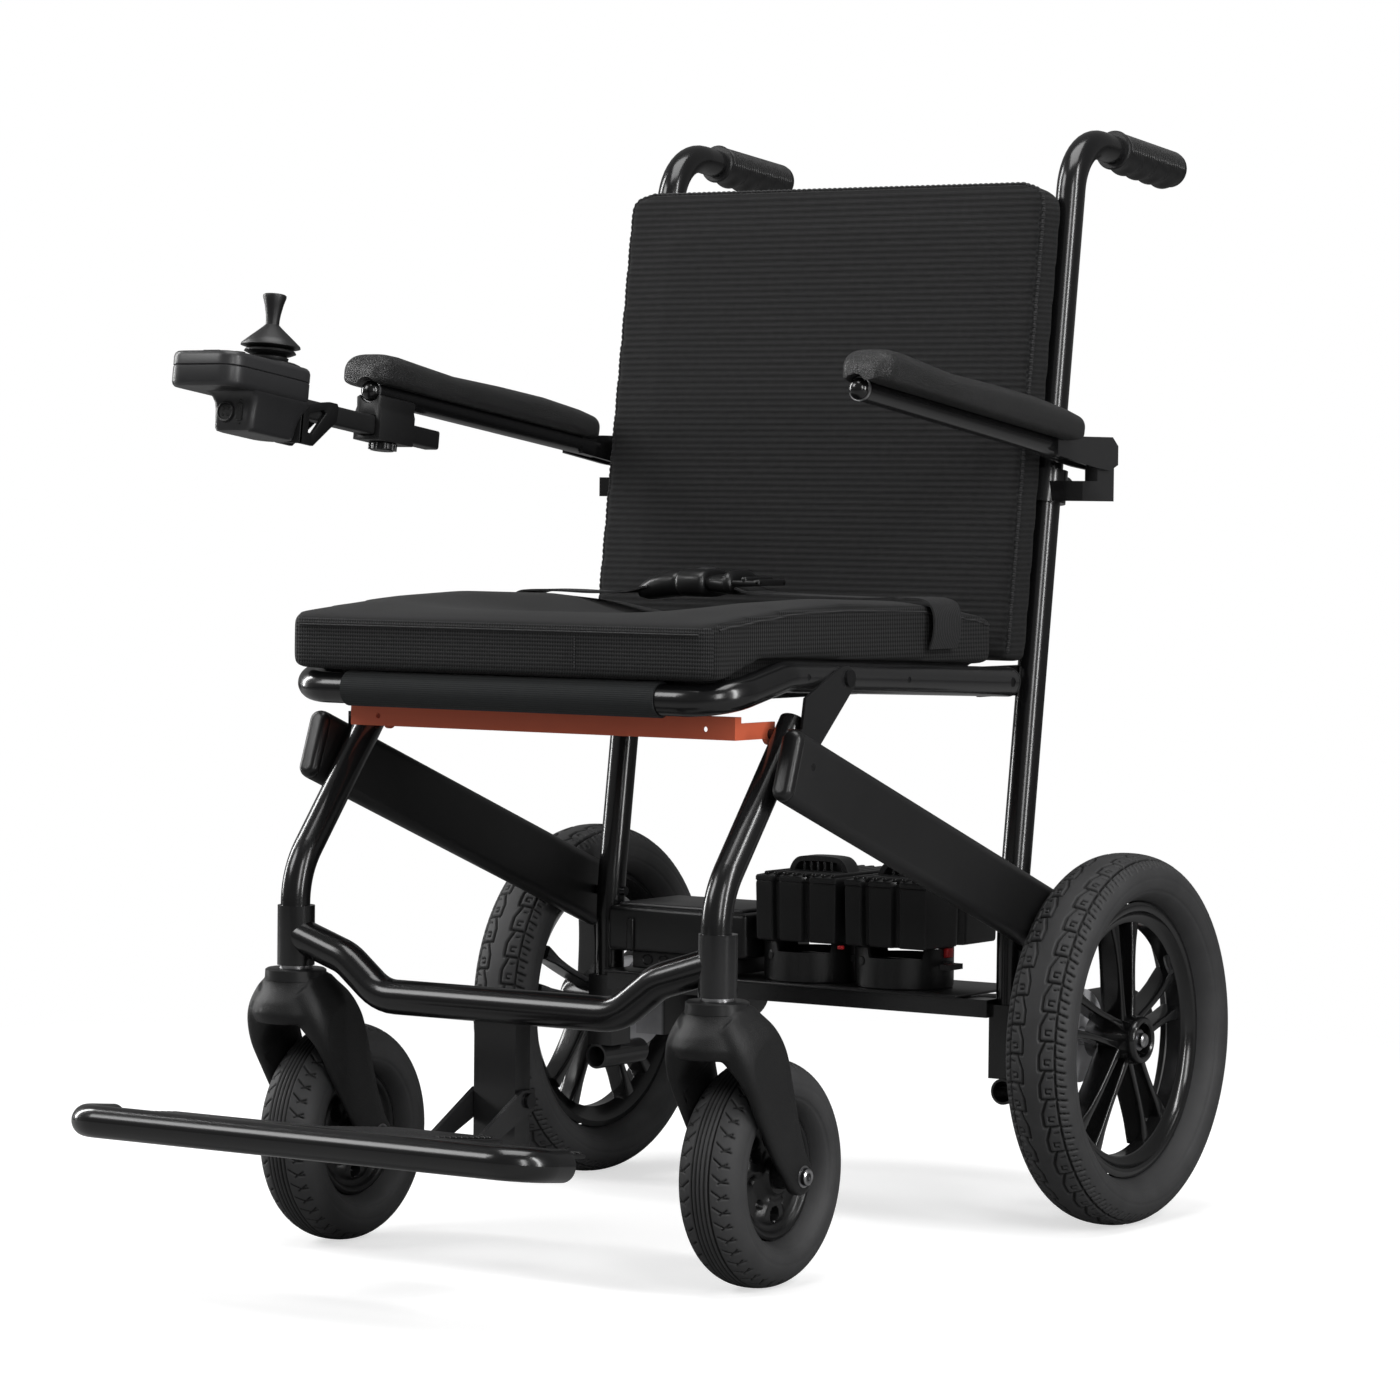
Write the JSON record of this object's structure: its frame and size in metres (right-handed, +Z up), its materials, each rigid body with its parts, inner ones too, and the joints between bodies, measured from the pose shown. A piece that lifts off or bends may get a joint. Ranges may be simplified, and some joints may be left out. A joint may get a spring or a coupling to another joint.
{
  "type": "power wheelchair",
  "caption": "Folding power wheelchair: bent-tube frame with side links, cushioned seat and backrest, drive wheels, casters, flip-up armrests, joystick control and lift-out batteries.",
  "frame": {"origin": "on the floor, centre of the overall length and width", "axes": "+Z up, -Y toward the front (the footplate), +X toward the sitter's left"},
  "size_m": [0.6044, 1.0094, 0.9341],
  "materials": {
    "gloss_black_paint": "gloss powder coat",
    "satin_black_paint": "satin, slight orange peel",
    "red_orange_paint": "satin, fine texture",
    "gloss_wheel_paint": "high gloss",
    "grip_rubber": "matte, ribbed",
    "boot_rubber": "soft satin",
    "cable_rubber": "matte",
    "tyre": "dark grey, matte",
    "black_plastic": "moulded, fine grain",
    "textured_black_plastic": "coarse moulded grain",
    "red_plastic": "gloss",
    "mesh_fabric": "ribbed mesh weave",
    "grey_sling_fabric": "coated woven",
    "webbing": "woven belt",
    "pad_leather": "pebbled grain",
    "silver_casting": "cast, satin",
    "steel": "zinc plated"
  },
  "bodies": {
    "back_frame": {"rear_frame": "gloss_black_paint", "push_grips": "grip_rubber", "gearboxes": "silver_casting", "drive_motors": "silver_casting", "battery_dock": "black_plastic", "controller_box": "black_plastic", "motor_cables": "cable_rubber", "backrest_cushion": "mesh_fabric", "backrest_shell": "grey_sling_fabric", "pivot_bolts": "steel"},
    "seat_frame": {"seat_frame": "gloss_black_paint", "rail_end_caps": "black_plastic", "seat_fasteners": "steel", "seat_sling": "grey_sling_fabric", "seat_cushion": "mesh_fabric", "belt_straps": "webbing", "belt_buckle": "black_plastic"},
    "buckle_button": {"buckle_button": "black_plastic"},
    "side_links": {"side_links": "satin_black_paint"},
    "front_frame": {"front_frame": "gloss_black_paint", "stem_bearings": "steel"},
    "release_bar": {"release_bar": "red_orange_paint"},
    "footplate": {"footplate_frame": "gloss_black_paint", "footplate_panel": "black_plastic", "footplate_pin": "steel"},
    "battery_latch": {"battery_latch": "red_plastic"},
    "brake_lever_left": {"brake_lever_left": "red_plastic"},
    "battery_left": {"battery_left": "black_plastic"},
    "caster_fork_left": {"caster_fork_left": "textured_black_plastic", "caster_bolts_left": "steel"},
    "caster_wheel_left": {"caster_rim_left": "black_plastic", "caster_tyre_left": "tyre"},
    "drive_wheel_left": {"drive_rim_left": "gloss_wheel_paint", "drive_tyre_left": "tyre", "drive_shaft_left": "steel"},
    "armrest_left": {"armrest_frame_left": "gloss_black_paint", "armrest_pad_left": "pad_leather"},
    "clamp_knob_left": {"clamp_knob_left": "black_plastic"},
    "brake_lever_right": {"brake_lever_right": "red_plastic"},
    "battery_right": {"battery_right": "black_plastic"},
    "caster_fork_right": {"caster_fork_right": "textured_black_plastic", "caster_bolts_right": "steel"},
    "caster_wheel_right": {"caster_rim_right": "black_plastic", "caster_tyre_right": "tyre"},
    "drive_wheel_right": {"drive_rim_right": "gloss_wheel_paint", "drive_tyre_right": "tyre", "drive_shaft_right": "steel"},
    "armrest_right": {"armrest_frame_right": "gloss_black_paint", "armrest_pad_right": "pad_leather", "joystick_clamp": "satin_black_paint"},
    "clamp_knob_right": {"clamp_knob_right": "black_plastic"},
    "joystick_bar": {"joystick_bar": "satin_black_paint", "controller_shells": "black_plastic"},
    "gimbal_ring": {"gimbal_ring": "steel"},
    "joystick": {"joystick": "boot_rubber"},
    "power_button": {"power_button": "black_plastic"},
    "horn_button": {"horn_button": "black_plastic"},
    "speed_rocker": {"speed_rocker": "black_plastic"}
  },
  "joints": [
    {"name": "fold", "type": "hinge", "parent": "back_frame", "child": "seat_frame", "pos_m": [0, 0.20575, 0.462], "axis": [-1, 0, 0], "range_deg": [0, 39], "deforming": ["seat_cushion"]},
    {"name": "link_fold", "type": "hinge", "parent": "back_frame", "child": "side_links", "pos_m": [0, 0.23075, 0.2635], "axis": [-1, 0, 0], "range_deg": [0, 24.62]},
    {"name": "leg_fold", "type": "hinge", "parent": "seat_frame", "child": "front_frame", "pos_m": [0, -0.06466, 0.47198], "axis": [1, 0, 0], "range_deg": [0, 56.01]},
    {"name": "release_lift", "type": "hinge", "parent": "front_frame", "child": "release_bar", "pos_m": [0, -0.12626, 0.4289], "axis": [-1, 0, 0], "range_deg": [0, 12]},
    {"name": "footplate_flip", "type": "hinge", "parent": "front_frame", "child": "footplate", "pos_m": [0, -0.22026, 0.1376], "axis": [-1, 0, 0], "range_deg": [0, 60]},
    {"name": "buckle_press", "type": "slide", "parent": "seat_frame", "child": "buckle_button", "axis": [0, 1, 0], "range_m": [0, 0.004]},
    {"name": "latch_slide", "type": "slide", "parent": "back_frame", "child": "battery_latch", "axis": [1, 0, 0], "range_m": [0, 0.008]},
    {"name": "brake_release_left", "type": "hinge", "parent": "back_frame", "child": "brake_lever_left", "pos_m": [0.2, 0.45175, 0.158], "axis": [0, 1, 0], "range_deg": [0, 60]},
    {"name": "battery_lift_left", "type": "slide", "parent": "back_frame", "child": "battery_left", "axis": [0, 0, 1], "range_m": [0, 0.12]},
    {"name": "caster_swivel_left", "type": "hinge", "parent": "front_frame", "child": "caster_fork_left", "pos_m": [0.2035, -0.22526, 0.24], "axis": [0, 0, 1], "continuous": true},
    {"name": "caster_roll_left", "type": "hinge", "parent": "caster_fork_left", "child": "caster_wheel_left", "pos_m": [0.2035, -0.16006, 0.0896], "axis": [1, 0, 0], "continuous": true},
    {"name": "drive_roll_left", "type": "hinge", "parent": "back_frame", "child": "drive_wheel_left", "pos_m": [0.2712, 0.30174, 0.158], "axis": [1, 0, 0], "continuous": true},
    {"name": "armrest_flip_left", "type": "hinge", "parent": "back_frame", "child": "armrest_left", "pos_m": [0.2383, 0.31055, 0.6529], "axis": [-1, 0, 0], "range_deg": [0, 85]},
    {"name": "clamp_turn_left", "type": "hinge", "parent": "back_frame", "child": "clamp_knob_left", "pos_m": [0.2045, 0.30174, 0.626], "axis": [0, 1, 0], "range_deg": [0, 90]},
    {"name": "brake_release_right", "type": "hinge", "parent": "back_frame", "child": "brake_lever_right", "pos_m": [-0.2, 0.45175, 0.158], "axis": [0, 1, 0], "range_deg": [0, 60]},
    {"name": "battery_lift_right", "type": "slide", "parent": "back_frame", "child": "battery_right", "axis": [0, 0, 1], "range_m": [0, 0.12]},
    {"name": "caster_swivel_right", "type": "hinge", "parent": "front_frame", "child": "caster_fork_right", "pos_m": [-0.2035, -0.22526, 0.24], "axis": [0, 0, 1], "continuous": true},
    {"name": "caster_roll_right", "type": "hinge", "parent": "caster_fork_right", "child": "caster_wheel_right", "pos_m": [-0.2035, -0.16006, 0.0896], "axis": [1, 0, 0], "continuous": true},
    {"name": "drive_roll_right", "type": "hinge", "parent": "back_frame", "child": "drive_wheel_right", "pos_m": [-0.2712, 0.30174, 0.158], "axis": [1, 0, 0], "continuous": true},
    {"name": "armrest_flip_right", "type": "hinge", "parent": "back_frame", "child": "armrest_right", "pos_m": [-0.2383, 0.31055, 0.6529], "axis": [-1, 0, 0], "range_deg": [0, 85]},
    {"name": "clamp_turn_right", "type": "hinge", "parent": "back_frame", "child": "clamp_knob_right", "pos_m": [-0.2045, 0.30174, 0.626], "axis": [0, 1, 0], "range_deg": [0, 90]},
    {"name": "joystick_reach", "type": "slide", "parent": "armrest_right", "child": "joystick_bar", "axis": [0, -0.9921, 0.1253], "range_m": [0, 0.05]},
    {"name": "stick_pitch", "type": "hinge", "parent": "joystick_bar", "child": "gimbal_ring", "pos_m": [-0.255, -0.20311, 0.69747], "axis": [1, 0, 0], "range_deg": [-12, 12], "stiffness_Nm_per_rad": 0.05},
    {"name": "stick_roll", "type": "hinge", "parent": "gimbal_ring", "child": "joystick", "pos_m": [-0.255, -0.20311, 0.69747], "axis": [0, 0.9921, -0.1253], "range_deg": [-12, 12], "stiffness_Nm_per_rad": 0.05},
    {"name": "power_press", "type": "slide", "parent": "joystick_bar", "child": "power_button", "axis": [0, -0.1253, -0.9921], "range_m": [0, 0.0015]},
    {"name": "horn_press", "type": "slide", "parent": "joystick_bar", "child": "horn_button", "axis": [0, -0.1253, -0.9921], "range_m": [0, 0.0015]},
    {"name": "speed_rock", "type": "hinge", "parent": "joystick_bar", "child": "speed_rocker", "pos_m": [-0.255, -0.26553, 0.72199], "axis": [1, 0, 0], "range_deg": [-5, 5]}
  ],
  "couplings": [
    {"joint": "link_fold", "follows": "fold", "ratio": 0.63},
    {"joint": "leg_fold", "follows": "fold", "ratio": 1.4348}
  ]
}
